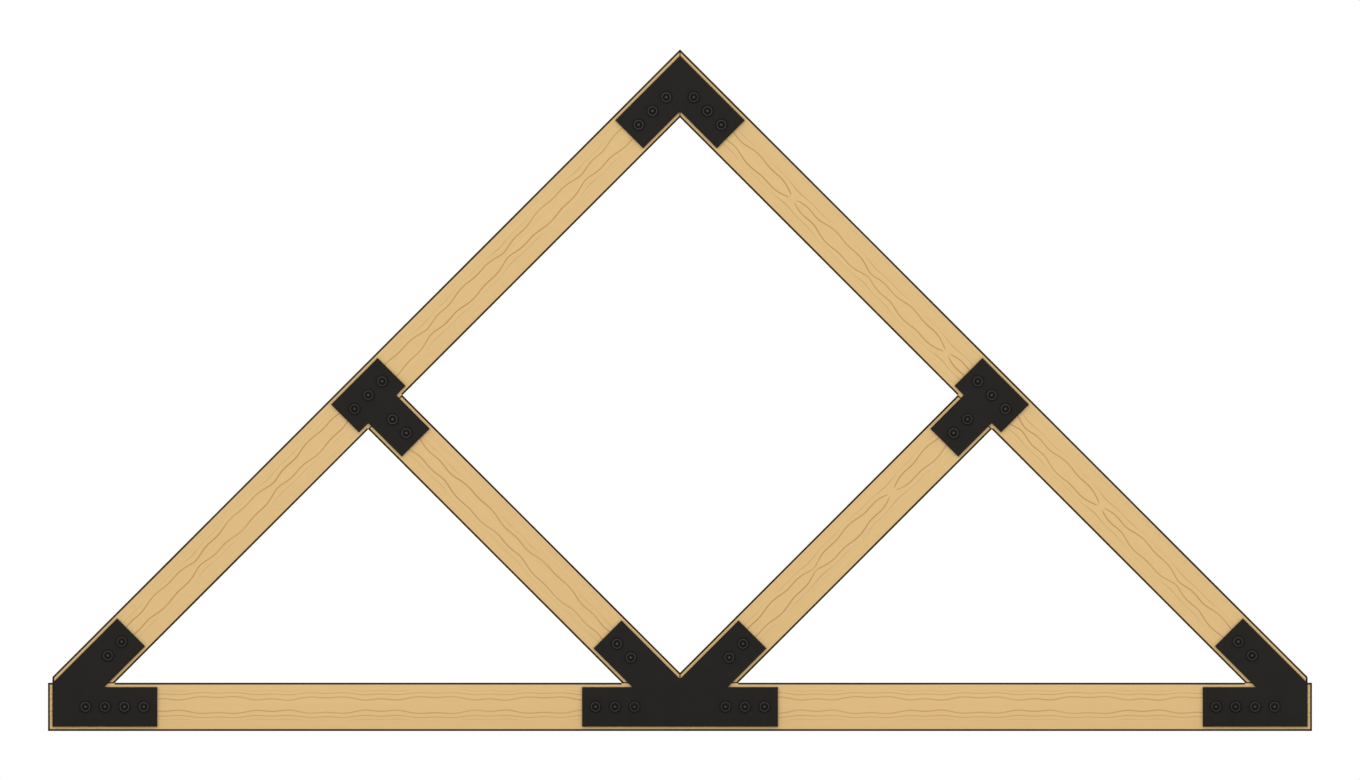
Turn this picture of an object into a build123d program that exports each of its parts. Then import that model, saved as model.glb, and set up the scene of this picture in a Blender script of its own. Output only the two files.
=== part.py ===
"""Wooden roof truss: five square timbers joined by bolted steel gusset plates.

Millimetres. X runs along the span, -Y is the front, +Z is up. The origin is the middle of the bottom
chord's underside. Points of the front view are written as (x, z).
"""

from build123d import *
from math import cos, radians, sin, tan
import os

# Timbers
span = 3657.6  # bottom chord, end to end
rafter_angle = 45.0  # slope of the rafters, degrees
timber_depth = 139.7  # side of the stock seen from the front
timber_width = 139.7  # side of the stock from front to back
arris_radius = 3.0  # eased long edges of the stock
heel_overhang = 24.9  # chord's end beyond the crossing of its centreline and the rafter's
heel_inset = 12.7  # rafter's toe and heel plate's edge, in from the chord's end
saw_allowance = 2 * timber_depth  # rough stock beyond a joint, cut off again

# Gusset plates
plate_width = 114.3
plate_thickness = 6.35
plate_end_distance = 38.8  # last bolt of a row to the plate's end

# Bolts, nuts and their holes
bolt_diameter = 12.7
bolt_projection = 14.3  # bolt's end beyond its nut
head_diameter = 31.75
head_rim = 2.0
head_height = 7.0
nut_across_flats = 19.05
nut_height = 11.1
hole_clearance = 1.6  # hole wider than the bolt
thread_clearance = 0.2  # nut's bore wider than the bolt

# Bolt rows: distance from the joint's centre to the first bolt, and number of bolts
bolt_spacing = 56.4
heel_chord_first, heel_chord_count = 83.3, 4
heel_rafter_first, heel_rafter_count = 209.8, 2
tee_web_first, tee_web_count = 99.0, 2
tee_rafter_side_count = 1  # bolts each side of the one in the middle of the tee
base_web_first, base_web_count = 201.4, 2
base_chord_first, base_chord_count = 131.7, 3
apex_first, apex_count = 56.4, 3

# Where the timbers' centrelines cross, left half and middle, in the front view
half_run = span / 2 - heel_overhang
rise = half_run * tan(radians(rafter_angle))
heel = (-half_run, timber_depth / 2)
apex = (0, timber_depth / 2 + rise)
tee = (-half_run / 2, timber_depth / 2 + rise / 2)
base = (0, timber_depth / 2)
rafter_length = half_run / cos(radians(rafter_angle))
toe_x = heel_inset - span / 2

# Directions of the timbers, left to right, degrees from +X
level = 0
rafter_up = rafter_angle
web_down = -rafter_angle


def back(angle):
    """The same line in the other direction."""
    return angle + 180


def along(joint, angle, distance):
    """Point of the front view on a timber's centreline, at a distance from a joint."""
    x, z = joint
    return (x + distance * cos(radians(angle)), z + distance * sin(radians(angle)))


def facing_front(point, y=0):
    """Plane that faces the front, at a point of the front view."""
    x, z = point
    return Plane(origin=(x, y, z), x_dir=(1, 0, 0), z_dir=(0, -1, 0))


def across(joint, angle, distance):
    """Plane square to a timber, at a distance from a joint; its normal runs along the timber."""
    x, z = along(joint, angle, distance)
    return Plane(origin=(x, 0, z), x_dir=(0, -1, 0), z_dir=(cos(radians(angle)), 0, sin(radians(angle))))


def bolt_row(joint, angle, first, count):
    """Bolt centres on a timber's centreline."""
    return [along(joint, angle, first + bolt_spacing * step) for step in range(count)]


def mirror_points(points):
    """The same points on the other half of the truss."""
    return [(-x, z) for x, z in points]


# Bolt centres of the left half, in the front view
heel_chord_row = bolt_row(heel, level, heel_chord_first, heel_chord_count)
heel_rafter_row = bolt_row(heel, rafter_up, heel_rafter_first, heel_rafter_count)
tee_rafter_row = bolt_row(
    tee, rafter_up, -bolt_spacing * tee_rafter_side_count, 2 * tee_rafter_side_count + 1
)
tee_web_row = bolt_row(tee, web_down, tee_web_first, tee_web_count)
base_web_row = bolt_row(base, back(web_down), base_web_first, base_web_count)
base_chord_row = bolt_row(base, back(level), base_chord_first, base_chord_count)
apex_row = bolt_row(apex, back(rafter_up), apex_first, apex_count)

chord_half = heel_chord_row + base_chord_row
bolts_through = {
    "bottom_chord": chord_half + mirror_points(chord_half),
    "left_rafter": heel_rafter_row + tee_rafter_row + apex_row,
    "left_web": tee_web_row + base_web_row,
}
bolts_through["right_rafter"] = mirror_points(bolts_through["left_rafter"])
bolts_through["right_web"] = mirror_points(bolts_through["left_web"])


def arm_length(first, count):
    """Length of a plate's arm from the joint's centre: its bolts and the end distance."""
    return first + bolt_spacing * (count - 1) + plate_end_distance


def drill(points):
    """Bolt holes right through the piece, from the front."""
    with Locations(*[facing_front(point) for point in points]):
        Hole((bolt_diameter + hole_clearance) / 2)


def plate_arm(start, angle, length):
    """Strip of plate on a timber's centreline, inside a sketch of the front view."""
    with Locations(start):
        Rectangle(length, plate_width, rotation=angle, align=(Align.MIN, Align.CENTER))


def copy_over(piece, plane):
    """Mirror image of a finished piece."""
    with BuildPart() as twin:
        mirror(piece, about=plane)
    return twin.part


# Timbers
with BuildPart() as bottom_chord:
    with BuildSketch(Plane.YZ.offset(-span / 2)):
        with Locations((0, timber_depth / 2)):
            RectangleRounded(timber_width, timber_depth, arris_radius)
    extrude(amount=span)
    drill(bolts_through["bottom_chord"])

# The rafter has a level seat on the chord, a plumb toe and a plumb mitre at the apex
with BuildPart() as left_rafter:
    with BuildSketch(across(heel, rafter_up, -saw_allowance)):
        RectangleRounded(timber_width, timber_depth, arris_radius)
    extrude(amount=rafter_length + 2 * saw_allowance)
    split(bisect_by=Plane.XY.offset(timber_depth), keep=Keep.TOP)
    split(bisect_by=Plane.YZ.offset(toe_x), keep=Keep.TOP)
    split(bisect_by=Plane.YZ, keep=Keep.BOTTOM)
    drill(bolts_through["left_rafter"])

# The web butts on the rafter's underside, sits on the chord and meets its twin at the middle
rafter_underside = across(tee, rafter_up - 90, timber_depth / 2)
with BuildPart() as left_web:
    with BuildSketch(across(tee, web_down, 0)):
        RectangleRounded(timber_width, timber_depth, arris_radius)
    extrude(amount=rafter_length / 2 + saw_allowance)
    split(bisect_by=rafter_underside, keep=Keep.TOP)
    split(bisect_by=Plane.XY.offset(timber_depth), keep=Keep.TOP)
    split(bisect_by=Plane.YZ, keep=Keep.BOTTOM)
    drill(bolts_through["left_web"])

timbers = {
    "bottom_chord": bottom_chord.part,
    "left_rafter": left_rafter.part,
    "left_web": left_web.part,
    "right_rafter": copy_over(left_rafter.part, Plane.YZ),
    "right_web": copy_over(left_web.part, Plane.YZ),
}

# Gusset plates of the front, the left and middle ones
front_face = facing_front((0, 0), -timber_width / 2)

with BuildPart() as apex_plate:
    with BuildSketch(front_face):
        plate_arm(
            along(apex, rafter_up, saw_allowance),
            back(rafter_up),
            saw_allowance + arm_length(apex_first, apex_count),
        )
    extrude(amount=plate_thickness)
    split(bisect_by=Plane.YZ, keep=Keep.BOTTOM)
    drill(apex_row)
    mirror(about=Plane.YZ)

with BuildPart() as tee_plate:
    tee_reach = arm_length(0, tee_rafter_side_count + 1)
    with BuildSketch(front_face):
        plate_arm(along(tee, back(rafter_up), tee_reach), rafter_up, 2 * tee_reach)
        plate_arm(tee, web_down, arm_length(tee_web_first, tee_web_count))
    extrude(amount=plate_thickness)
    drill(tee_rafter_row + tee_web_row)

with BuildPart() as heel_plate:
    with BuildSketch(front_face):
        plate_arm(
            (toe_x, timber_depth / 2),
            level,
            heel[0] - toe_x + arm_length(heel_chord_first, heel_chord_count),
        )
        plate_arm(heel, rafter_up, arm_length(heel_rafter_first, heel_rafter_count))
    extrude(amount=plate_thickness)
    split(bisect_by=Plane.YZ.offset(toe_x), keep=Keep.TOP)
    drill(heel_chord_row + heel_rafter_row)

with BuildPart() as base_plate:
    with BuildSketch(front_face):
        plate_arm(base, back(level), arm_length(base_chord_first, base_chord_count))
        plate_arm(base, back(web_down), arm_length(base_web_first, base_web_count))
    extrude(amount=plate_thickness)
    drill(base_chord_row + base_web_row)
    mirror(about=Plane.YZ)

front_plates = {
    "apex_plate": apex_plate.part,
    "base_plate": base_plate.part,
    "left_tee_plate": tee_plate.part,
    "left_heel_plate": heel_plate.part,
    "right_tee_plate": copy_over(tee_plate.part, Plane.YZ),
    "right_heel_plate": copy_over(heel_plate.part, Plane.YZ),
}

# Fasteners: the bolt's head bears on the front plate, the nut on the back plate
grip = timber_width + 2 * plate_thickness
bolt_length = grip + nut_height + bolt_projection

with BuildPart() as bolt:
    with BuildSketch(Plane.XZ):
        with BuildLine():
            Polyline(
                (0, -bolt_length),
                (bolt_diameter / 2, -bolt_length),
                (bolt_diameter / 2, 0),
                (head_diameter / 2, 0),
                (head_diameter / 2, head_rim),
            )
            TangentArc((0, head_height), (head_diameter / 2, head_rim), tangent=(1, 0))
            Line((0, head_height), (0, -bolt_length))
        make_face()
    revolve(axis=Axis.Z)

with BuildPart() as nut:
    with BuildSketch():
        RegularPolygon(nut_across_flats / 2, 6, major_radius=False)
        Circle((bolt_diameter + thread_clearance) / 2, mode=Mode.SUBTRACT)
    extrude(amount=-nut_height)


def fasten(piece, points, y):
    """Copies of a fastener at bolt centres, each seated on the plane at y."""
    with BuildPart() as row:
        with Locations(*[facing_front(point, y) for point in points]):
            add(piece)
    return row.part


fasteners = {}
for timber, points in bolts_through.items():
    fasteners[timber + "_bolts"] = fasten(bolt.part, points, -grip / 2)
    fasteners[timber + "_nuts"] = fasten(nut.part, points, grip / 2)

# Files, one for each node
pieces = {**timbers, **fasteners}
for name, plate in front_plates.items():
    pieces[name + "_front"] = plate
    pieces[name + "_back"] = copy_over(plate, Plane.XZ)

os.makedirs("parts", exist_ok=True)
for name, piece in pieces.items():
    piece.label = name
    export_step(piece, f"parts/{name}.step")
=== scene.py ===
from math import cos, pi, radians, sin, tan

import bmesh
import bpy
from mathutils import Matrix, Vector


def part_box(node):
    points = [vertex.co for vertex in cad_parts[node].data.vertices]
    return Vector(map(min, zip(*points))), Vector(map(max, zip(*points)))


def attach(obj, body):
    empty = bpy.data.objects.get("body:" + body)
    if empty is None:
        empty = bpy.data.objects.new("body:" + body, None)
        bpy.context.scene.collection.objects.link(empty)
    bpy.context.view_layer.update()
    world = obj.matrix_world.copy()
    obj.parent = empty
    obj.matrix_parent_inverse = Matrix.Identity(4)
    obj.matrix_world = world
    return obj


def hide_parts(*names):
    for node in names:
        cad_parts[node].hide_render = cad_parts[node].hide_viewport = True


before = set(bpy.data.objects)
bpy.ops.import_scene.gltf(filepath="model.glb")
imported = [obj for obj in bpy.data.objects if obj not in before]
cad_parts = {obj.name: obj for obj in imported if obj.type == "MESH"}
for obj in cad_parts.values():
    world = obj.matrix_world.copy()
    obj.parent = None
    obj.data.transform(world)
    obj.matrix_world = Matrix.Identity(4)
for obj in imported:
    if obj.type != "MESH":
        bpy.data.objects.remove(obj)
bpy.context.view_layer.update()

scene = bpy.context.scene

# Real sizes, metres. What the frame holds is read from it.
MM = 0.001
PITCH = radians(45)  # slope of the rafters
chord_low, chord_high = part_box("bottom_chord")
TIMBER = chord_high.z - chord_low.z  # side of the square stock
HALF_SPAN = chord_high.x
AXIS_HEIGHT = (chord_low.z + chord_high.z) / 2  # chord's centreline
APEX_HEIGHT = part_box("left_rafter")[1].z
HALF_RUN = (APEX_HEIGHT - AXIS_HEIGHT - TIMBER / 2 / cos(PITCH)) / tan(PITCH)
TOE = -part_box("left_rafter")[0].x  # rafter's plumb toe cut, from the middle
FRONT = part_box("apex_plate_front")[0].y  # outer faces of the plates
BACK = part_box("apex_plate_back")[1].y

# Where the timbers' centrelines start
HEEL = Vector((-HALF_RUN, 0, AXIS_HEIGHT))
BASE = Vector((0, 0, AXIS_HEIGHT))
TEE = Vector((-HALF_RUN / 2, 0, AXIS_HEIGHT + HALF_RUN / 2 * tan(PITCH)))

# Picture: a front elevation with no perspective
PICTURE_WIDTH = 1360  # pixels
CHORD_LENGTH = 1264  # pixels, the bottom chord from end to end
UNDERSIDE_DROP = 341  # pixels from the picture's middle down to the chord's underside
PIXEL = 2 * HALF_SPAN / CHORD_LENGTH


def srgb(code):
    """Linear colour of an sRGB hex code."""
    parts = [int(code[i:i + 2], 16) / 255 for i in (1, 3, 5)]
    return [p / 12.92 if p <= 0.04045 else ((p + 0.055) / 1.055) ** 2.4 for p in parts] + [1]


def add_node(tree, kind, inputs=None, corners=None, **settings):
    """Adds a node with its settings and links. An input is a socket or node to link from, or a value.

    corners are the points of a float curve, joined by straight lines."""
    node = tree.nodes.new(kind)
    for name, value in settings.items():
        setattr(node, name, value)
    for key, value in (inputs or {}).items():
        if isinstance(value, bpy.types.Node):
            value = value.outputs[0]
        if isinstance(value, bpy.types.NodeSocket):
            tree.links.new(value, node.inputs[key])
        else:
            node.inputs[key].default_value = value
    if corners:
        curve = node.mapping.curves[0]
        for x, y in corners[1:-1]:
            curve.points.new(x, y)
        for point, corner in zip(curve.points, corners):
            point.location = corner
            point.handle_type = "VECTOR"
        node.mapping.update()
    return node


def new_material(name):
    """Node material with only its shader and output."""
    material = bpy.data.materials.new(name)
    material.use_nodes = True
    tree = material.node_tree
    tree.nodes.clear()
    shader = add_node(tree, "ShaderNodeBsdfPrincipled")
    add_node(tree, "ShaderNodeOutputMaterial", {"Surface": shader})
    return material, tree, shader


# Dressed fir with its heart near the middle of the square. The growth rings are tubes round the heart, so
# each face cuts them into pairs of lines either side of its middle, which wave where the trunk swelled.
# Lengths in all patterns are in mm.
FIR_TONE = "#DDBB81"
FIR_CHORD_TONE = "#E0BE84"
FIR_LIGHT = "#E2C28C"
FIR_DARK = "#D0AA71"
FIR_RING = "#B68A50"  # dense late wood, the thin brown lines
FIR_END = "#C79B5E"  # end grain drinks the finish and is darker
FIR_CHECK = "#6B4A22"  # drying cracks in the end grain
FIR_PAINTED_SHADE = "#1B1004"  # painted shade: a dark outline along the arrises and joints of each timber, and in the corners by the plates
FIR_GLOSS = 0.2
FIR_ROUGH = (0.5, 0.66)  # between the fibres and on them
RING_SPACING = 4.7
RING_WAVES = ((630.0, 0.16), (315.0, 1.1), (105.0, 0.62))  # length along the timber, and swell of the rings
UNEVEN_SWELL = 0.2
UNEVEN_SIZE = (160, 60, 60)  # along the timber and across it
HEART_OFFSET = 5.2  # heart to the timber's centreline, across the front face
LINE_HALF = 1.6  # half the width of a line on a long face
LATE_HALF = 0.45  # half the thickness of a ring's late wood
END_LATE_HALF = 1.0  # drawn thicker on the end grain so that it shows
FADE_BAND = 4  # over this the outer rings fade
FADED_LINE = 0.08  # strength of a line that has faded
FIBRE_SIZE = (45, 0.7, 0.7)  # fine streaks
STREAK_SIZE = (420, 9, 9)  # broad soft streaks of tone
CHECKS_ROUND = 7.0  # how close the drying cracks lie round the heart
# Painted shade along the arrises and joints: a dark band round each timber's faces
ARRIS_WIDTH = 5.9
ARRIS_BLUR = (0.9, -0.6)  # the painted edge shade ends this much outside and inside that width
ARRIS_RAGGED = 1.2  # its edge wanders with the streaks
ARRIS_MOST = 0.98
JOINT_NARROWING = 3.2  # the outline is this much thinner where two timbers meet
# Reach and strength of the painted shade in the corners by the plates
SHADE_REACH = 2.5
SHADE_MOST = 0.3
LINE_RELIEF, CHECK_RELIEF = 0.6, -4.0  # beside the fibres' relief
FIR_RELIEF = 0.15
FIR_BUMP = 0.35  # strength of the relief


def dressed_fir(name, start, angle, ends, bearings, first_ring, faded, crests, seed,
                tone=FIR_TONE, strength=1.0):
    """Fir for one timber: its centreline's start and angle, the planes that it was sawn on, where other
    timbers bear on it (from and to along it, and the side), the radius of the ring that shows nearest the
    middle of its face, the radius at which rings have faded, where its three waves swell most, the tone of
    its clear wood, and how strong its lines are."""
    material, tree, shader = new_material(name)
    coordinates = add_node(tree, "ShaderNodeTexCoord")
    along = add_node(
        tree, "ShaderNodeMapping",
        {"Vector": coordinates.outputs["Object"], "Location": start, "Rotation": (0, -angle, 0)},
        vector_type="TEXTURE",
    )
    face = add_node(
        tree, "ShaderNodeMapping",
        {"Vector": coordinates.outputs["Normal"], "Rotation": (0, angle, 0)},
        vector_type="VECTOR",
    )
    grain = add_node(tree, "ShaderNodeVectorMath", {0: along, "Scale": 1 / MM}, operation="SCALE")
    place = add_node(tree, "ShaderNodeSeparateXYZ", {0: grain})

    # Swelling of the rings along the trunk
    stretched = add_node(
        tree, "ShaderNodeVectorMath", {0: grain, 1: [1 / size for size in UNEVEN_SIZE]}, operation="MULTIPLY"
    )
    uneven = add_node(
        tree, "ShaderNodeTexNoise",
        {"Vector": stretched, "W": seed, "Scale": 1.0, "Detail": 3.0, "Roughness": 0.5},
        noise_dimensions="4D",
    )
    swell = add_node(
        tree, "ShaderNodeMath",
        {0: uneven, 1: UNEVEN_SWELL, 2: -UNEVEN_SWELL / 2}, operation="MULTIPLY_ADD",
    )
    for (length, height), crest in zip(RING_WAVES, crests):
        turn = add_node(
            tree, "ShaderNodeMath",
            {0: place.outputs["X"], 1: 2 * pi / length, 2: -2 * pi * crest / length},
            operation="MULTIPLY_ADD",
        )
        wave = add_node(tree, "ShaderNodeMath", {0: turn}, operation="COSINE")
        swell = add_node(tree, "ShaderNodeMath", {0: wave, 1: height, 2: swell}, operation="MULTIPLY_ADD")

    # Distance from the heart, and from there to the nearest late wood
    heart = add_node(
        tree, "ShaderNodeVectorMath", {0: grain, 1: (0, 0, -HEART_OFFSET)}, operation="ADD"
    )
    outward = add_node(tree, "ShaderNodeVectorMath", {0: heart, 1: (0, 1, 1)}, operation="MULTIPLY")
    radius = add_node(tree, "ShaderNodeVectorMath", {0: outward}, operation="LENGTH").outputs["Value"]
    steady = add_node(tree, "ShaderNodeMath", {0: radius, 1: swell}, operation="SUBTRACT")
    years = add_node(
        tree, "ShaderNodeMath",
        {0: steady, 1: 1 / RING_SPACING, 2: 0.5 - first_ring / RING_SPACING}, operation="MULTIPLY_ADD",
    )
    season = add_node(tree, "ShaderNodeMath", {0: years}, operation="FRACT")
    offset = add_node(
        tree, "ShaderNodeMath",
        {0: season, 1: RING_SPACING, 2: -RING_SPACING / 2}, operation="MULTIPLY_ADD",
    )
    to_line = add_node(tree, "ShaderNodeMath", {0: offset}, operation="ABSOLUTE")

    # A face that runs nearly along a ring spreads its line out, so there the line is kept thin and pales
    radial = add_node(tree, "ShaderNodeVectorMath", {0: outward}, operation="NORMALIZE")
    facing = add_node(
        tree, "ShaderNodeVectorMath", {0: radial, 1: face}, operation="DOT_PRODUCT"
    ).outputs["Value"]
    square_on = add_node(tree, "ShaderNodeMath", {0: facing, 1: facing}, operation="MULTIPLY")
    oblique = add_node(tree, "ShaderNodeMath", {0: 1.0, 1: square_on}, operation="SUBTRACT")
    slope = add_node(tree, "ShaderNodeMath", {0: oblique}, operation="SQRT")
    crisp = add_node(
        tree, "ShaderNodeMapRange", {"Value": slope, "From Min": 0.03, "From Max": 0.09}
    )
    facing_parts = add_node(tree, "ShaderNodeSeparateXYZ", {0: face})
    lengthwise = add_node(tree, "ShaderNodeMath", {0: facing_parts.outputs["X"]}, operation="ABSOLUTE")
    end_grain = add_node(
        tree, "ShaderNodeMapRange", {"Value": lengthwise, "From Min": 0.2, "From Max": 0.6}
    )
    half = add_node(tree, "ShaderNodeMath", {0: slope, 1: LINE_HALF}, operation="MULTIPLY")
    half = add_node(tree, "ShaderNodeMath", {0: half, 1: LATE_HALF}, operation="MINIMUM")
    half = add_node(
        tree, "ShaderNodeMath",
        {0: end_grain, 1: END_LATE_HALF - LATE_HALF, 2: half}, operation="MULTIPLY_ADD",
    )
    nearness = add_node(tree, "ShaderNodeMath", {0: to_line, 1: half}, operation="DIVIDE")
    late_wood = add_node(
        tree, "ShaderNodeMapRange", {"Value": nearness, "From Min": 1.5, "From Max": 0.5},
        interpolation_type="SMOOTHSTEP",
    )

    # Outer rings fade on the long faces, and every line is a little uneven
    outer = add_node(
        tree, "ShaderNodeMapRange",
        {"Value": radius, "From Min": faded, "From Max": faded - FADE_BAND, "To Min": FADED_LINE},
    )
    outer = add_node(tree, "ShaderNodeMath", {0: outer, 1: end_grain}, operation="MAXIMUM")
    broken = add_node(
        tree, "ShaderNodeMapRange",
        {"Value": uneven, "From Min": 0.3, "From Max": 0.6, "To Min": 0.65 * strength, "To Max": strength},
    )
    line = late_wood
    for factor in (outer, crisp, broken):
        line = add_node(tree, "ShaderNodeMath", {0: line, 1: factor}, operation="MULTIPLY")

    # Fibres: dusky hairlines along the timber, and broad soft streaks of paler wood
    fine = add_node(
        tree, "ShaderNodeVectorMath", {0: grain, 1: [1 / size for size in FIBRE_SIZE]}, operation="MULTIPLY"
    )
    fibres = add_node(
        tree, "ShaderNodeTexNoise",
        {"Vector": fine, "W": seed, "Scale": 1.0, "Detail": 3.0, "Roughness": 0.6},
        noise_dimensions="4D",
    )
    broad = add_node(
        tree, "ShaderNodeVectorMath", {0: grain, 1: [1 / size for size in STREAK_SIZE]}, operation="MULTIPLY"
    )
    streaks = add_node(
        tree, "ShaderNodeTexNoise",
        {"Vector": broad, "W": seed + 5, "Scale": 1.0, "Detail": 2.0, "Roughness": 0.5},
        noise_dimensions="4D",
    )
    pale = add_node(
        tree, "ShaderNodeMapRange",
        {"Value": streaks, "From Min": 0.45, "From Max": 0.75, "To Max": 0.5},
    )
    dusky = add_node(
        tree, "ShaderNodeMapRange",
        {"Value": fibres, "From Min": 0.55, "From Max": 0.85, "To Max": 0.5},
    )

    # Drying cracks run out from the heart, on the end grain only
    round_heart = add_node(tree, "ShaderNodeSeparateXYZ", {0: radial})
    spokes = add_node(
        tree, "ShaderNodeCombineXYZ",
        {"X": round_heart.outputs["Y"], "Y": round_heart.outputs["Z"], "Z": seed},
    )
    cracks = add_node(
        tree, "ShaderNodeTexNoise",
        {"Vector": spokes, "Scale": CHECKS_ROUND, "Detail": 2.0, "Roughness": 0.6},
    )
    checks = add_node(
        tree, "ShaderNodeMapRange",
        {"Value": cracks, "From Min": 0.66, "From Max": 0.7, "To Max": 0.8},
    )
    checks = add_node(tree, "ShaderNodeMath", {0: checks, 1: end_grain}, operation="MULTIPLY")

    # Painted shade along the arrises, a dark outline round each timber: a point is near an arris where two
    # of its distances to the sawn faces are small.
    # Where a timber bears on a face, the distance to it counts for more, so the line there is thin.
    distances = []
    for axis in ("Y", "Z"):
        size = add_node(tree, "ShaderNodeMath", {0: place.outputs[axis]}, operation="ABSOLUTE")
        distances.append(add_node(
            tree, "ShaderNodeMath", {0: TIMBER / 2 / MM, 1: size}, operation="SUBTRACT"
        ))
    for begin, end, side in bearings:
        within = add_node(
            tree, "ShaderNodeMath",
            {0: place.outputs["X"], 1: (begin + end) / 2 / MM, 2: (end - begin) / 2 / MM},
            operation="COMPARE",
        )
        on_face = add_node(
            tree, "ShaderNodeMath", {0: place.outputs["Z"], 1: side}, operation="MULTIPLY"
        )
        on_face = add_node(tree, "ShaderNodeMath", {0: on_face, 1: 0.0}, operation="GREATER_THAN")
        covered = add_node(tree, "ShaderNodeMath", {0: within, 1: on_face}, operation="MULTIPLY")
        narrow = add_node(
            tree, "ShaderNodeMath", {0: covered, 1: JOINT_NARROWING - 1, 2: 1.0}, operation="MULTIPLY_ADD"
        )
        distances[1] = add_node(
            tree, "ShaderNodeMath", {0: distances[1], 1: narrow}, operation="MULTIPLY"
        )
    low, high = (
        add_node(tree, "ShaderNodeMath", {0: distances[0], 1: distances[1]}, operation=which)
        for which in ("MINIMUM", "MAXIMUM")
    )
    for point, normal in ends:
        from_cut = add_node(
            tree, "ShaderNodeVectorMath",
            {0: coordinates.outputs["Object"], 1: point}, operation="SUBTRACT",
        )
        depth = add_node(
            tree, "ShaderNodeVectorMath", {0: from_cut, 1: normal / MM}, operation="DOT_PRODUCT"
        ).outputs["Value"]
        depth = add_node(tree, "ShaderNodeMath", {0: depth}, operation="ABSOLUTE")
        high = add_node(tree, "ShaderNodeMath", {0: high, 1: depth}, operation="MINIMUM")
    from_arris = add_node(tree, "ShaderNodeMath", {0: low, 1: high}, operation="MAXIMUM")
    ragged = add_node(
        tree, "ShaderNodeMath", {0: streaks, 1: ARRIS_RAGGED, 2: from_arris}, operation="MULTIPLY_ADD"
    )
    outside, inside = (ARRIS_WIDTH + blur for blur in ARRIS_BLUR)
    arris_shade = add_node(
        tree, "ShaderNodeMapRange",
        {"Value": ragged, "From Min": outside, "From Max": inside, "To Max": ARRIS_MOST},
    )

    # Painted shade: darker in the corner along each plate's edge, where ambient occlusion finds it
    corner = add_node(tree, "ShaderNodeAmbientOcclusion", {"Distance": SHADE_REACH * MM}, samples=8)
    painted_shade = add_node(
        tree, "ShaderNodeMapRange",
        {"Value": corner.outputs["AO"], "From Min": 0.85, "From Max": 0.55, "To Max": SHADE_MOST},
    )

    colour = add_node(
        tree, "ShaderNodeMix", {0: pale, 6: srgb(tone), 7: srgb(FIR_LIGHT)}, data_type="RGBA"
    )
    # The clear wood's tone, then its marks, then painted shade on the arrises and in the corners by the
    # plates
    for share, shade in (
        (dusky, FIR_DARK), (end_grain, FIR_END), (line, FIR_RING),
        (checks, FIR_CHECK), (arris_shade, FIR_PAINTED_SHADE), (painted_shade, FIR_PAINTED_SHADE),
    ):
        colour = add_node(
            tree, "ShaderNodeMix", {0: share, 6: colour.outputs[2], 7: srgb(shade)}, data_type="RGBA"
        )
    tree.links.new(colour.outputs[2], shader.inputs["Base Color"])

    # Planed and oiled matt, with no gloss on the arrises, where the dark outline of painted shade lies
    smoothest, roughest = FIR_ROUGH
    rough = add_node(
        tree, "ShaderNodeMapRange",
        {"Value": fibres, "From Min": 0.3, "From Max": 0.7, "To Min": smoothest, "To Max": roughest},
    )
    rough = add_node(tree, "ShaderNodeMath", {0: rough, 1: arris_shade}, operation="MAXIMUM")
    tree.links.new(rough.outputs[0], shader.inputs["Roughness"])
    gloss = add_node(tree, "ShaderNodeMapRange", {"Value": arris_shade, "To Min": FIR_GLOSS, "To Max": 0.0})
    tree.links.new(gloss.outputs[0], shader.inputs["Specular IOR Level"])

    # The late wood stands a little proud, the fibres barely, and the cracks are open
    relief = add_node(
        tree, "ShaderNodeMath", {0: line, 1: LINE_RELIEF, 2: fibres}, operation="MULTIPLY_ADD"
    )
    relief = add_node(
        tree, "ShaderNodeMath", {0: checks, 1: CHECK_RELIEF, 2: relief}, operation="MULTIPLY_ADD"
    )
    bump = add_node(
        tree, "ShaderNodeBump", {"Height": relief, "Strength": FIR_BUMP, "Distance": FIR_RELIEF * MM}
    )
    tree.links.new(bump.outputs[0], shader.inputs["Normal"])
    return material


# Powder-coated steel plate: satin black with the coat's orange peel, dull where hands and rain have been
COAT_TONE = "#181613"
COAT_DULL = "#1F1D1A"
# Painted shade round the bolts' heads
COAT_SHADE = "#080706"
COAT_GLOSS = 0.12
COAT_ROUGH = (0.42, 0.58)  # satin and dull
PEEL_SIZE = 3.5  # drawn coarser than the real 1 mm so that it shows
PEEL_RELIEF = 0.1
PEEL_BUMP = 0.2  # strength of the relief
CLOUD_SIZE = 90.0
COAT_EASE = 0.8  # the coat rounds a plate's edges
# Reach and strength of the painted shade round the bolts' heads
COAT_SHADE_REACH = 9
COAT_SHADE_MOST = 0.9


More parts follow.
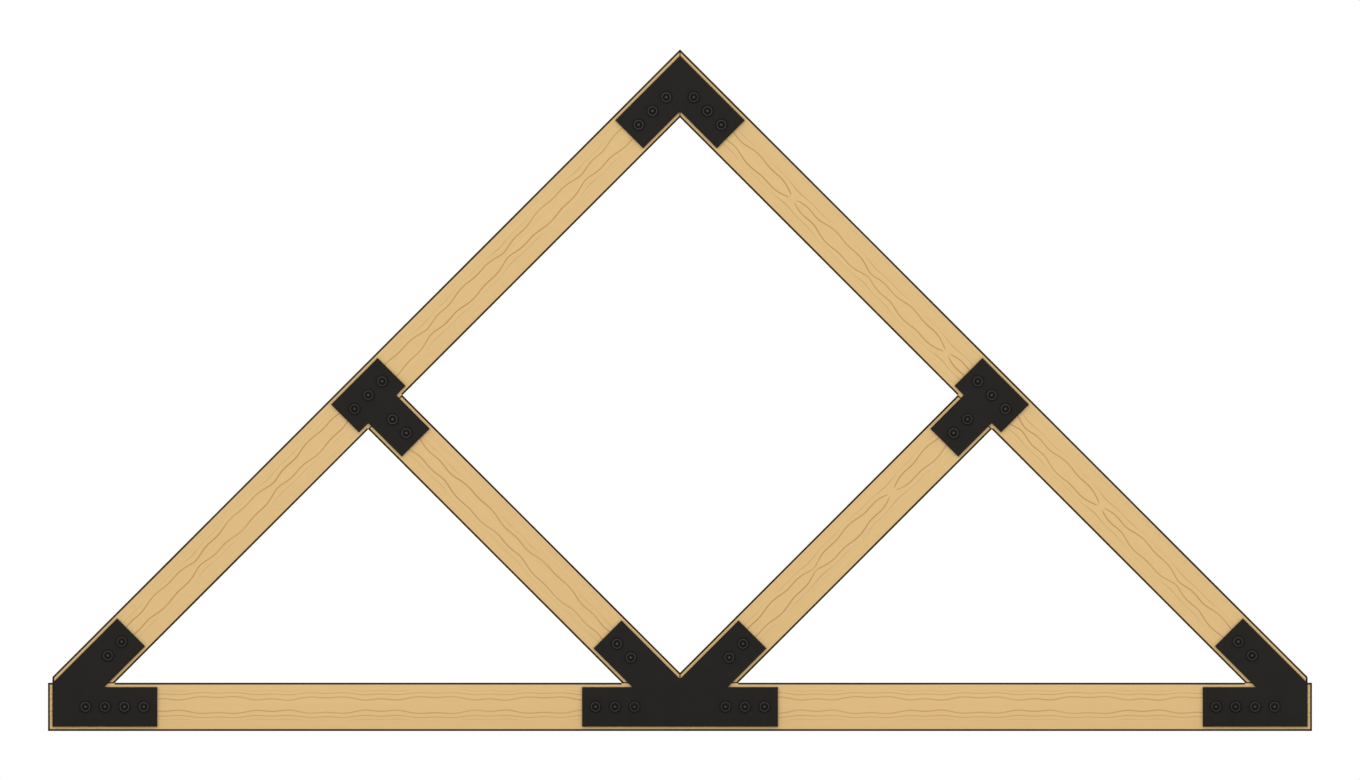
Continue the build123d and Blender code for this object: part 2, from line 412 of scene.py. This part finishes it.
def powder_coat(name):
    """Satin black coat of the plates."""
    material, tree, shader = new_material(name)
    coordinates = add_node(tree, "ShaderNodeTexCoord")
    clouds = add_node(tree, "ShaderNodeTexNoise", {
        "Vector": coordinates.outputs["Object"], "Scale": 1 / CLOUD_SIZE / MM,
        "Detail": 5.0, "Roughness": 0.6,
    })
    peel = add_node(
        tree, "ShaderNodeTexNoise",
        {"Vector": coordinates.outputs["Object"], "Scale": 1 / PEEL_SIZE / MM, "Detail": 2.0},
    )
    dull = add_node(
        tree, "ShaderNodeMapRange", {"Value": clouds, "From Min": 0.4, "From Max": 0.65, "To Max": 0.6}
    )

    # Painted shade: darker round each bolt's head, where ambient occlusion finds it
    corner = add_node(tree, "ShaderNodeAmbientOcclusion", {"Distance": COAT_SHADE_REACH * MM}, samples=8)
    painted_shade = add_node(
        tree, "ShaderNodeMapRange",
        {"Value": corner.outputs["AO"], "From Min": 0.98, "From Max": 0.75, "To Max": COAT_SHADE_MOST},
    )
    colour = add_node(
        tree, "ShaderNodeMix", {0: dull, 6: srgb(COAT_TONE), 7: srgb(COAT_DULL)}, data_type="RGBA"
    )
    colour = add_node(
        tree, "ShaderNodeMix", {0: painted_shade, 6: colour.outputs[2], 7: srgb(COAT_SHADE)}, data_type="RGBA"
    )
    tree.links.new(colour.outputs[2], shader.inputs["Base Color"])

    # Clouds of dull coat, and the peel's relief
    satin, dullest = COAT_ROUGH
    rough = add_node(
        tree, "ShaderNodeMapRange",
        {"Value": clouds, "From Min": 0.35, "From Max": 0.65, "To Min": satin, "To Max": dullest},
    )
    tree.links.new(rough.outputs[0], shader.inputs["Roughness"])
    eased = add_node(tree, "ShaderNodeBevel", {"Radius": COAT_EASE * MM}, samples=6)
    bump = add_node(
        tree, "ShaderNodeBump",
        {"Height": peel, "Strength": PEEL_BUMP, "Distance": PEEL_RELIEF * MM, "Normal": eased},
    )
    tree.links.new(bump.outputs[0], shader.inputs["Normal"])
    shader.inputs["Specular IOR Level"].default_value = COAT_GLOSS
    return material


# Black-oxide steel of the bolts and nuts: nearly black, rubbed grey on crowns, ridges and corners; on the
# heads' crowns and ridges the grey is also a painted highlight
OXIDE_TONE = "#131211"
# Grey of rubbed metal, also a painted highlight on the bolts' crowns and ridges
OXIDE_WEAR_AND_HIGHLIGHT = "#474643"
OXIDE_ROUGH, RUBBED_ROUGH = 0.5, 0.34
OXIDE_GLOSS, RUBBED_GLOSS = 0.05, 0.12
RUB_SIZE = 2.5  # patches in the rubbed places
RUB_LEAST = 0.7  # how rubbed the least rubbed patch is
RUB_EACH = (0.8, 1.05)  # one fastener is rubbed more than the next
RUB_RELIEF = 0.1
RUB_BUMP = 0.15  # strength of the relief


def black_oxide(name):
    """Oxide-blackened steel, lighter where the mesh stores wear: rubbed metal, and on the bolts' crowns and
    ridges also a painted highlight.
    """
    material, tree, shader = new_material(name)
    coordinates = add_node(tree, "ShaderNodeTexCoord")
    wear_and_highlight = add_node(tree, "ShaderNodeAttribute", attribute_name="wear_and_highlight")
    tone = add_node(tree, "ShaderNodeAttribute", attribute_name="tone")
    patches = add_node(tree, "ShaderNodeTexNoise", {
        "Vector": coordinates.outputs["Object"], "Scale": 1 / RUB_SIZE / MM,
        "Detail": 3.0, "Roughness": 0.65,
    })
    patchy = add_node(
        tree, "ShaderNodeMapRange",
        {"Value": patches, "From Min": 0.3, "From Max": 0.55, "To Min": RUB_LEAST, "To Max": 1.0},
    )
    least, most = RUB_EACH
    each = add_node(
        tree, "ShaderNodeMapRange", {"Value": tone.outputs["Fac"], "To Min": least, "To Max": most}
    )
    # Wear lightens the steel, and on the bolts' crowns and ridges so does a painted highlight
    rubbed = add_node(
        tree, "ShaderNodeMath", {0: wear_and_highlight.outputs["Fac"], 1: patchy}, operation="MULTIPLY"
    )
    rubbed = add_node(tree, "ShaderNodeMath", {0: rubbed, 1: each}, operation="MULTIPLY")
    colour = add_node(
        tree, "ShaderNodeMix", {0: rubbed, 6: srgb(OXIDE_TONE), 7: srgb(OXIDE_WEAR_AND_HIGHLIGHT)}, data_type="RGBA"
    )
    tree.links.new(colour.outputs[2], shader.inputs["Base Color"])
    rough = add_node(
        tree, "ShaderNodeMapRange", {"Value": rubbed, "To Min": OXIDE_ROUGH, "To Max": RUBBED_ROUGH}
    )
    tree.links.new(rough.outputs[0], shader.inputs["Roughness"])
    gloss = add_node(
        tree, "ShaderNodeMapRange", {"Value": rubbed, "To Min": OXIDE_GLOSS, "To Max": RUBBED_GLOSS}
    )
    tree.links.new(gloss.outputs[0], shader.inputs["Specular IOR Level"])
    bump = add_node(
        tree, "ShaderNodeBump", {"Height": patches, "Strength": RUB_BUMP, "Distance": RUB_RELIEF * MM}
    )
    tree.links.new(bump.outputs[0], shader.inputs["Normal"])
    return material


def on_side(vector, side):
    """A point or direction of the left half, or its mirror image on the right (side 1)."""
    return Vector((-side * vector.x, vector.y, vector.z))


def cuts(side):
    """Planes that the timbers of one half are sawn on. A joint's normal is longer, for a thinner line."""
    level, plumb = Vector((0, 0, 1)), Vector((1, 0, 0))
    outward = on_side(Vector((-sin(PITCH), 0, cos(PITCH))), side)
    seat = (Vector((0, 0, TIMBER)), level * JOINT_NARROWING)
    mitre = (Vector((0, 0, 0)), plumb * JOINT_NARROWING)
    toe = (Vector((side * TOE, 0, 0)), plumb)
    underside = (on_side(TEE, side) - outward * TIMBER / 2, outward * JOINT_NARROWING)
    return {"rafter": [seat, mitre, toe], "web": [underside, seat, mitre]}


left_cuts, right_cuts = cuts(-1), cuts(1)
chord_ends = [(Vector((side * HALF_SPAN, 0, 0)), Vector((1, 0, 0))) for side in (-1, 1)]

# Where a timber bears on another: from and to along it, and the side
centre_shift = TIMBER / 2 / tan(PITCH)  # a sloping centreline moves this far inwards up to the chord's top
half_seat = TIMBER / 2 / sin(PITCH)
rafter_end = HALF_RUN - centre_shift - half_seat
web_end = centre_shift + half_seat
chord_bearings = [(-TOE, -rafter_end, 1), (rafter_end, TOE, 1), (-web_end, web_end, 1)]
tee_along = (TEE - HEEL).length
tee_from, tee_to = tee_along - TIMBER / 2, tee_along + TIMBER / 2

fir = {
    "bottom_chord": dressed_fir(
        "fir_bottom_chord", BASE, 0, chord_ends, chord_bearings,
        first_ring=72.6, faded=83.0, crests=(-75.5, -75.5, -24.6), seed=1.0,
        tone=FIR_CHORD_TONE, strength=0.7,
    ),
    "left_rafter": dressed_fir(
        "fir_left_rafter", HEEL, PITCH, left_cuts["rafter"], [(tee_from, tee_to, -1)],
        first_ring=72.09, faded=77.5, crests=(132.1, 132.1, 4.5), seed=2.0,
    ),
    "right_rafter": dressed_fir(
        "fir_right_rafter", on_side(HEEL, 1), pi - PITCH, right_cuts["rafter"], [(tee_from, tee_to, 1)],
        first_ring=71.48, faded=77.5, crests=(500.0, 10.5, 42.2), seed=3.0,
    ),
    "left_web": dressed_fir(
        "fir_left_web", BASE, pi - PITCH, left_cuts["web"], [],
        first_ring=72.42, faded=77.5, crests=(-113.9, -113.9, 50.1), seed=4.0,
    ),
    "right_web": dressed_fir(
        "fir_right_web", BASE, PITCH, right_cuts["web"], [],
        first_ring=71.54, faded=77.5, crests=(555.0, 78.9, -18.6), seed=5.0,
    ),
}

# Section of the bolt's head from its crown out to its rim: radius and height in mm, and how far it is
# rubbed, which on the crown and the ridge is also a painted highlight. A ridge runs round the head inside
# the rim.
HEAD_SECTION = [
    (0, 7.0, 0.9), (1.6, 6.95, 0.9), (2.8, 6.65, 0.9), (3.6, 6.1, 0.4), (4.4, 5.5, 0.0), (6.0, 5.25, 0.0),
    (8.6, 4.95, 0.0), (10.8, 4.85, 0.0), (11.6, 5.1, 0.4), (12.3, 5.4, 1.0), (12.9, 5.42, 1.0),
    (13.6, 5.0, 0.6), (14.3, 4.0, 0.1), (15.0, 2.9, 0.0), (15.6, 1.9, 0.0), (15.875, 1.2, 0.0),
    (15.875, 0, 0.0),
]
SHANK = 12.7  # half-inch bolt
THREAD_PITCH = 25.4 / 13  # its coarse thread
THREAD_DEPTH = 0.613  # of the pitch
ROWS_PER_TURN = 4
SHOWN_THREAD = 18.0  # the bolt's end that stands out of the nut, and a little of what is hidden in it
BOLT_SEGMENTS = 40

# Section of a nut, inside to outside and back: radius and height in mm. The hexagon cuts off what is
# outside it, and its corners are rubbed.
NUT_BORE = 6.45
NUT_RADIUS = 11.2  # clear of the hexagon's corners
NUT_SECTION = [
    (NUT_BORE, 1.0), (7.4, 0), (9.2, 0), (9.6, 0.23), (10.0, 0.46), (10.4, 0.69), (10.7, 0.87),
    (NUT_RADIUS, 1.15), (NUT_RADIUS, 9.95), (10.7, 10.23), (10.4, 10.41), (10.0, 10.64), (9.6, 10.87),
    (9.2, 11.1), (7.4, 11.1), (NUT_BORE, 10.1), (NUT_BORE, 1.0),
]
NUT_SEGMENTS = 48  # eight on each flat
NUT_RUB_FROM, NUT_RUB_TO = 9.9, 10.9  # radii between which it gets more rubbed
NUT_RUB_LEAST = 0.25
CREST_RUB = 0.9  # how rubbed a thread's crest is
CREASE = radians(38)  # edges that bend more stay crisp
CLOSING = 0.01  # doubles this close become one


def new_geometry_tree(name, sizes):
    """Geometry Nodes tree that takes points and named inputs, and gives a mesh."""
    tree = bpy.data.node_groups.new(name, "GeometryNodeTree")
    tree.interface.new_socket("Points", in_out="INPUT", socket_type="NodeSocketGeometry")
    for label, kind in sizes.items():
        tree.interface.new_socket(label, in_out="INPUT", socket_type="NodeSocket" + kind)
    tree.interface.new_socket("Mesh", in_out="OUTPUT", socket_type="NodeSocketGeometry")
    return tree, add_node(tree, "NodeGroupInput").outputs


def section_corners(values):
    """Corners of a float curve through a section's values: spaced evenly, as shares of the largest."""
    return [(i / (len(values) - 1), value / max(values)) for i, value in enumerate(values)]


def turned(tree, grid, around, radius, height, wear_and_highlight):
    """Bends a flat grid round the Y axis, and stores how far each point is rubbed, which on a bolt's crown
    and ridge is also a painted highlight.
    """
    angle = add_node(tree, "ShaderNodeMath", {0: around, 1: -2 * pi}, operation="MULTIPLY")
    sideways = []
    for which in ("COSINE", "SINE"):
        share = add_node(tree, "ShaderNodeMath", {0: angle}, operation=which)
        sideways.append(add_node(tree, "ShaderNodeMath", {0: share, 1: radius}, operation="MULTIPLY"))
    place = add_node(tree, "ShaderNodeCombineXYZ", {"X": sideways[0], "Y": height, "Z": sideways[1]})
    rubbed = add_node(
        tree, "GeometryNodeStoreNamedAttribute", {"Geometry": grid, "Name": "wear_and_highlight", "Value": wear_and_highlight}
    )
    return add_node(tree, "GeometryNodeSetPosition", {"Geometry": rubbed, "Position": place})


def set_out(tree, inputs, parts, most_turn):
    """Closes a fastener's parts into one, puts a copy on each point and makes them a plain mesh."""
    joined = add_node(tree, "GeometryNodeJoinGeometry")
    for part in parts:
        tree.links.new(part.outputs[0], joined.inputs[0])
    closed = add_node(tree, "GeometryNodeMergeByDistance", {"Geometry": joined, "Distance": CLOSING * MM})
    smooth = add_node(tree, "GeometryNodeSetShadeSmooth", {"Geometry": closed})
    bend = add_node(tree, "GeometryNodeInputMeshEdgeAngle")
    sharp = add_node(tree, "FunctionNodeCompare", {0: bend.outputs["Unsigned Angle"], 1: CREASE})
    creased = add_node(
        tree, "GeometryNodeSetShadeSmooth",
        {"Geometry": smooth, "Selection": sharp, "Shade Smooth": False}, domain="EDGE",
    )
    turn = add_node(
        tree, "FunctionNodeRandomValue", {2: 0.0, 3: most_turn, "Seed": inputs["Seed"]}, data_type="FLOAT"
    )
    spin = add_node(tree, "ShaderNodeCombineXYZ", {"Y": turn.outputs[1]})
    rotation = add_node(tree, "FunctionNodeEulerToRotation", {0: spin})
    placed = add_node(
        tree, "GeometryNodeInstanceOnPoints",
        {"Points": inputs["Points"], "Instance": creased, "Rotation": rotation},
    )
    tone = add_node(tree, "FunctionNodeRandomValue", {"Seed": inputs["Seed"]}, data_type="FLOAT")
    toned = add_node(
        tree, "GeometryNodeStoreNamedAttribute",
        {"Geometry": placed, "Name": "tone", "Value": tone.outputs[1]}, domain="INSTANCE",
    )
    real = add_node(tree, "GeometryNodeRealizeInstances", {"Geometry": toned})
    dressed = add_node(
        tree, "GeometryNodeSetMaterial", {"Geometry": real, "Material": inputs["Material"]}
    )
    add_node(tree, "NodeGroupOutput", {0: dressed})


def dome_bolt_tree():
    """Dome-head bolts: the head turned from its section, the shank, and a cut thread at its end."""
    tree, inputs = new_geometry_tree("dome_head_bolts", {
        "Head Diameter": "Float", "Head Height": "Float", "Shank Diameter": "Float", "Length": "Float",
        "Thread Length": "Float", "Thread Pitch": "Float", "Segments": "Int", "Seed": "Int",
        "Material": "Material",
    })
    columns = add_node(tree, "ShaderNodeMath", {0: inputs["Segments"], 1: 1.0})
    head_radius, shank_radius = (
        add_node(tree, "ShaderNodeMath", {0: inputs[width], 1: 0.5}, operation="MULTIPLY")
        for width in ("Head Diameter", "Shank Diameter")
    )

    # Head
    head = add_node(
        tree, "GeometryNodeMeshGrid", {"Vertices X": columns, "Vertices Y": len(HEAD_SECTION)}
    )
    share = add_node(tree, "ShaderNodeSeparateXYZ", {0: head.outputs["UV Map"]})
    radii, heights, head_wear_and_highlight = (
        add_node(tree, "ShaderNodeFloatCurve", {"Value": share.outputs["Y"]}, section_corners(values))
        for values in zip(*HEAD_SECTION)
    )
    radius = add_node(tree, "ShaderNodeMath", {0: radii, 1: head_radius}, operation="MULTIPLY")
    height = add_node(tree, "ShaderNodeMath", {0: heights, 1: inputs["Head Height"]}, operation="MULTIPLY")
    depth = add_node(tree, "ShaderNodeMath", {0: height, 1: -1.0}, operation="MULTIPLY")
    head = turned(tree, head, share.outputs["X"], radius, depth, head_wear_and_highlight)

    # Shank and thread: the underside's rim, the shank's top, then rows that climb one pitch a turn
    start = add_node(
        tree, "ShaderNodeMath", {0: inputs["Length"], 1: inputs["Thread Length"]}, operation="SUBTRACT"
    )
    turns = add_node(
        tree, "ShaderNodeMath", {0: inputs["Thread Length"], 1: inputs["Thread Pitch"]}, operation="DIVIDE"
    )
    turns = add_node(tree, "ShaderNodeMath", {0: turns}, operation="CEIL")
    last_row = add_node(
        tree, "ShaderNodeMath",
        {0: turns, 1: ROWS_PER_TURN, 2: 2 + 2 * ROWS_PER_TURN}, operation="MULTIPLY_ADD",
    )
    rows = add_node(tree, "ShaderNodeMath", {0: last_row, 1: 1.0})
    shank = add_node(tree, "GeometryNodeMeshGrid", {"Vertices X": columns, "Vertices Y": rows})
    share = add_node(tree, "ShaderNodeSeparateXYZ", {0: shank.outputs["UV Map"]})
    row = add_node(tree, "ShaderNodeMath", {0: share.outputs["Y"], 1: last_row}, operation="MULTIPLY")
    is_rim = add_node(tree, "ShaderNodeMath", {0: row, 1: 0.5}, operation="LESS_THAN")
    is_body = add_node(tree, "ShaderNodeMath", {0: row, 1: 1.5}, operation="GREATER_THAN")
    is_open = add_node(tree, "ShaderNodeMath", {0: share.outputs["Y"], 1: 0.9999}, operation="LESS_THAN")
    turn = add_node(
        tree, "ShaderNodeMath",
        {0: row, 1: 1 / ROWS_PER_TURN, 2: -2 / ROWS_PER_TURN - 1}, operation="MULTIPLY_ADD",
    )
    climb = add_node(tree, "ShaderNodeMath", {0: turn, 1: share.outputs["X"]})
    climb = add_node(
        tree, "ShaderNodeMath", {0: climb, 1: inputs["Thread Pitch"], 2: start}, operation="MULTIPLY_ADD"
    )
    climb = add_node(tree, "ShaderNodeClamp", {"Value": climb, "Min": start, "Max": inputs["Length"]})
    height = add_node(tree, "ShaderNodeMath", {0: climb, 1: is_body}, operation="MULTIPLY")

    # Groove: none where the thread starts, deepest between two crests
    phase = add_node(tree, "ShaderNodeMath", {0: turn, 1: 2 * pi}, operation="MULTIPLY")
    crest = add_node(tree, "ShaderNodeMath", {0: phase}, operation="COSINE")
    crest = add_node(tree, "ShaderNodeMath", {0: crest, 1: 0.5, 2: 0.5}, operation="MULTIPLY_ADD")
    run_out = add_node(tree, "ShaderNodeMath", {0: start, 1: inputs["Thread Pitch"]})
    full = add_node(tree, "ShaderNodeMapRange", {"Value": height, "From Min": start, "From Max": run_out})
    deep = add_node(
        tree, "ShaderNodeMath", {0: inputs["Thread Pitch"], 1: THREAD_DEPTH}, operation="MULTIPLY"
    )
    hollow = add_node(tree, "ShaderNodeMath", {0: 1.0, 1: crest}, operation="SUBTRACT")
    cut = add_node(tree, "ShaderNodeMath", {0: deep, 1: full}, operation="MULTIPLY")
    cut = add_node(tree, "ShaderNodeMath", {0: cut, 1: hollow}, operation="MULTIPLY")
    radius = add_node(tree, "ShaderNodeMath", {0: shank_radius, 1: cut}, operation="SUBTRACT")

    # The tip is chamfered down to the root, the rim is as wide as the head, and the last row is closed
    root = add_node(tree, "ShaderNodeMath", {0: shank_radius, 1: deep}, operation="SUBTRACT")
    left = add_node(tree, "ShaderNodeMath", {0: inputs["Length"], 1: height}, operation="SUBTRACT")
    chamfer = add_node(tree, "ShaderNodeMath", {0: root, 1: left})
    radius = add_node(tree, "ShaderNodeMath", {0: radius, 1: chamfer}, operation="MINIMUM")
    flange = add_node(tree, "ShaderNodeMath", {0: head_radius, 1: radius}, operation="SUBTRACT")
    radius = add_node(tree, "ShaderNodeMath", {0: is_rim, 1: flange, 2: radius}, operation="MULTIPLY_ADD")
    radius = add_node(tree, "ShaderNodeMath", {0: radius, 1: is_open}, operation="MULTIPLY")
    rubbed = add_node(tree, "ShaderNodeMath", {0: crest, 1: CREST_RUB}, operation="MULTIPLY")
    shank = turned(tree, shank, share.outputs["X"], radius, height, rubbed)
    set_out(tree, inputs, [head, shank], 2 * pi)
    return tree


def hex_nut_tree():
    """Hexagon nuts: the hexagon cut by a section with turned chamfers, round a plain bore."""
    tree, inputs = new_geometry_tree("hex_nuts", {
        "Across Flats": "Float", "Nut Height": "Float", "Section Radius": "Float", "Segments": "Int",
        "Seed": "Int", "Material": "Material",
    })
    columns = add_node(tree, "ShaderNodeMath", {0: inputs["Segments"], 1: 1.0})
    nut = add_node(tree, "GeometryNodeMeshGrid", {"Vertices X": columns, "Vertices Y": len(NUT_SECTION)})
    share = add_node(tree, "ShaderNodeSeparateXYZ", {0: nut.outputs["UV Map"]})
    radii, heights = (
        add_node(tree, "ShaderNodeFloatCurve", {"Value": share.outputs["Y"]}, section_corners(values))
        for values in zip(*NUT_SECTION)
    )
    radius = add_node(tree, "ShaderNodeMath", {0: radii, 1: inputs["Section Radius"]}, operation="MULTIPLY")
    height = add_node(tree, "ShaderNodeMath", {0: heights, 1: inputs["Nut Height"]}, operation="MULTIPLY")

    # Six flats with a corner on the X axis: half the width, divided by the cosine from a flat's middle
    sixth = add_node(tree, "ShaderNodeMath", {0: share.outputs["X"], 1: 6.0}, operation="MULTIPLY")
    within = add_node(tree, "ShaderNodeMath", {0: sixth}, operation="FRACT")
    from_middle = add_node(
        tree, "ShaderNodeMath", {0: within, 1: pi / 3, 2: -pi / 6}, operation="MULTIPLY_ADD"
    )
    slant = add_node(tree, "ShaderNodeMath", {0: from_middle}, operation="COSINE")
    flat = add_node(tree, "ShaderNodeMath", {0: inputs["Across Flats"], 1: 0.5}, operation="MULTIPLY")
    hexagon = add_node(tree, "ShaderNodeMath", {0: flat, 1: slant}, operation="DIVIDE")
    radius = add_node(tree, "ShaderNodeMath", {0: radius, 1: hexagon}, operation="MINIMUM")
    rubbed = add_node(tree, "ShaderNodeMapRange", {
        "Value": radius, "From Min": NUT_RUB_FROM * MM, "From Max": NUT_RUB_TO * MM,
        "To Min": NUT_RUB_LEAST, "To Max": 1.0,
    })
    nut = turned(tree, nut, share.outputs["X"], radius, height, rubbed)
    set_out(tree, inputs, [nut], 0.0)
    return tree


DOUBLES = 0.001  # in a CAD node


def solids_of(node):
    """Lowest and highest corners of each separate solid in a CAD node, from left to right."""
    mesh = bmesh.new()
    mesh.from_mesh(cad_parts[node].data)
    bmesh.ops.remove_doubles(mesh, verts=mesh.verts, dist=DOUBLES * MM)
    boxes = []
    left = set(mesh.verts)
    while left:
        waiting = [left.pop()]
        corners = []
        while waiting:
            vertex = waiting.pop()
            corners.append(vertex.co.copy())
            for edge in vertex.link_edges:
                other = edge.other_vert(vertex)
                if other in left:
                    left.remove(other)
                    waiting.append(other)
        boxes.append([
            Vector([pick(corner[i] for corner in corners) for i in range(3)]) for pick in (min, max)
        ])
    mesh.free()
    return sorted(boxes, key=lambda box: tuple(box[0]))


def fasten(name, node, tree, seat, sizes):
    """Makes a row of fasteners with a tree, on the axes of the solids of a CAD node that they replace."""
    centres = [(low + high) / 2 for low, high in solids_of(node)]
    mesh = bpy.data.meshes.new(name + "_points")
    mesh.from_pydata([(centre.x, seat, centre.z) for centre in centres], [], [])
    source = bpy.data.objects.new(name + "_points", mesh)
    scene.collection.objects.link(source)
    modifier = source.modifiers.new("fasteners", "NODES")
    modifier.node_group = tree
    for item in tree.interface.items_tree:
        if item.name in sizes:
            modifier[item.identifier] = sizes[item.name]
    made = bpy.data.meshes.new_from_object(source.evaluated_get(bpy.context.evaluated_depsgraph_get()))
    made.name = name
    made.materials.pop(index=0)  # the points' own empty slot
    source.modifiers.clear()
    bpy.data.objects.remove(source)
    bpy.data.meshes.remove(mesh)
    piece = bpy.data.objects.new(name, made)
    scene.collection.objects.link(piece)
    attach(piece, "root")
    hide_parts(node)


# Timbers and plates are the frame's own nodes, as they are: saw cuts and cut steel are crisp
coat = powder_coat("powder_coated_steel")
for name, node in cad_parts.items():
    if not name.endswith(("_bolts", "_nuts")):
        node.data.materials.clear()
        node.data.materials.append(fir.get(name, coat))

# Bolts and nuts are replaced row by row. Their sizes come from the first solid of each row.
oxide = black_oxide("black_oxide_steel")
bolt_tree, nut_tree = dome_bolt_tree(), hex_nut_tree()
for number, timber in enumerate(fir):
    low, high = solids_of(timber + "_bolts")[0]
    fasten(timber + "_dome_bolts", timber + "_bolts", bolt_tree, FRONT, {
        "Head Diameter": high.x - low.x, "Head Height": FRONT - low.y, "Shank Diameter": SHANK * MM,
        "Length": high.y - FRONT, "Thread Length": SHOWN_THREAD * MM, "Thread Pitch": THREAD_PITCH * MM,
        "Segments": BOLT_SEGMENTS, "Seed": number, "Material": oxide,
    })
    low, high = solids_of(timber + "_nuts")[0]
    fasten(timber + "_hex_nuts", timber + "_nuts", nut_tree, BACK, {
        "Across Flats": high.z - low.z, "Nut Height": high.y - low.y, "Section Radius": NUT_RADIUS * MM,
        "Segments": NUT_SEGMENTS, "Seed": number, "Material": oxide,
    })

# Camera: straight at the front, parallel, so its distance doesn't show
CAMERA_DISTANCE = 8
CAMERA_REACH = 100
camera_data = bpy.data.cameras.new("front_elevation")
camera_data.type = "ORTHO"
camera_data.ortho_scale = PICTURE_WIDTH * PIXEL
camera_data.clip_end = CAMERA_REACH
camera = bpy.data.objects.new("front_elevation", camera_data)
camera.location = (0, -CAMERA_DISTANCE, UNDERSIDE_DROP * PIXEL)
camera.rotation_euler = (pi / 2, 0, 0)
scene.collection.objects.link(camera)
scene.camera = camera

# World: white to the eye and in reflections, less than half as bright as a light
WORLD_LIGHT = 0.45
world = bpy.data.worlds.new("studio")
scene.world = world
world.use_nodes = True
tree = world.node_tree
tree.nodes.clear()
rays = add_node(tree, "ShaderNodeLightPath")
seen = rays.outputs["Is Camera Ray"]
for ray in ("Is Glossy Ray", "Is Transmission Ray"):
    seen = add_node(tree, "ShaderNodeMath", {0: seen, 1: rays.outputs[ray]}, operation="MAXIMUM")
level = add_node(tree, "ShaderNodeMapRange", {"Value": seen, "To Min": WORLD_LIGHT, "To Max": 1.0})
background = add_node(tree, "ShaderNodeBackground", {"Color": (1, 1, 1, 1), "Strength": level})
add_node(tree, "ShaderNodeOutputWorld", {"Surface": background})

# Floor: pale and matt, faintly speckled, a hair below the chord so that the two don't flicker
FLOOR_SIZE = 60
FLOOR_GAP = 0.2 * MM
FLOOR_TONES = ("#E2E1DF", "#E8E7E5")
FLOOR_ROUGH = 0.9
SPECKLE_SIZE = 25
bpy.ops.mesh.primitive_plane_add(size=FLOOR_SIZE, location=(0, 0, -FLOOR_GAP))
floor = bpy.context.object
floor.name = "floor"
floor_material, tree, shader = new_material("pale_floor")
coordinates = add_node(tree, "ShaderNodeTexCoord")
speckle = add_node(
    tree, "ShaderNodeTexNoise",
    {"Vector": coordinates.outputs["Object"], "Scale": 1 / SPECKLE_SIZE / MM, "Detail": 4.0},
)
darker, lighter = (srgb(tone) for tone in FLOOR_TONES)
colour = add_node(tree, "ShaderNodeMix", {0: speckle, 6: darker, 7: lighter}, data_type="RGBA")
tree.links.new(colour.outputs[2], shader.inputs["Base Color"])
shader.inputs["Roughness"].default_value = FLOOR_ROUGH
floor.data.materials.append(floor_material)


LAMP_DISTANCE = 10  # a sun shines the same from anywhere, and this keeps it clear of the truss


def soft_sun(name, azimuth, elevation, strength, spread):
    """Wide soft lamp far away, so that it lights the whole truss evenly. Azimuth 0 is the front."""
    data = bpy.data.lights.new(name, "SUN")
    data.energy = strength
    data.angle = radians(spread)
    lamp = bpy.data.objects.new(name, data)
    turn, tilt = radians(azimuth), radians(elevation)
    towards = Vector((sin(turn) * cos(tilt), -cos(turn) * cos(tilt), sin(tilt)))
    lamp.location = LAMP_DISTANCE * towards
    lamp.rotation_euler = towards.to_track_quat("Z", "Y").to_euler()
    scene.collection.objects.link(lamp)


soft_sun("key", azimuth=-30, elevation=36, strength=1.25, spread=80)
soft_sun("fill", azimuth=45, elevation=20, strength=0.6, spread=80)
soft_sun("back", azimuth=150, elevation=38, strength=1.3, spread=70)

scene.view_settings.view_transform = "Standard"
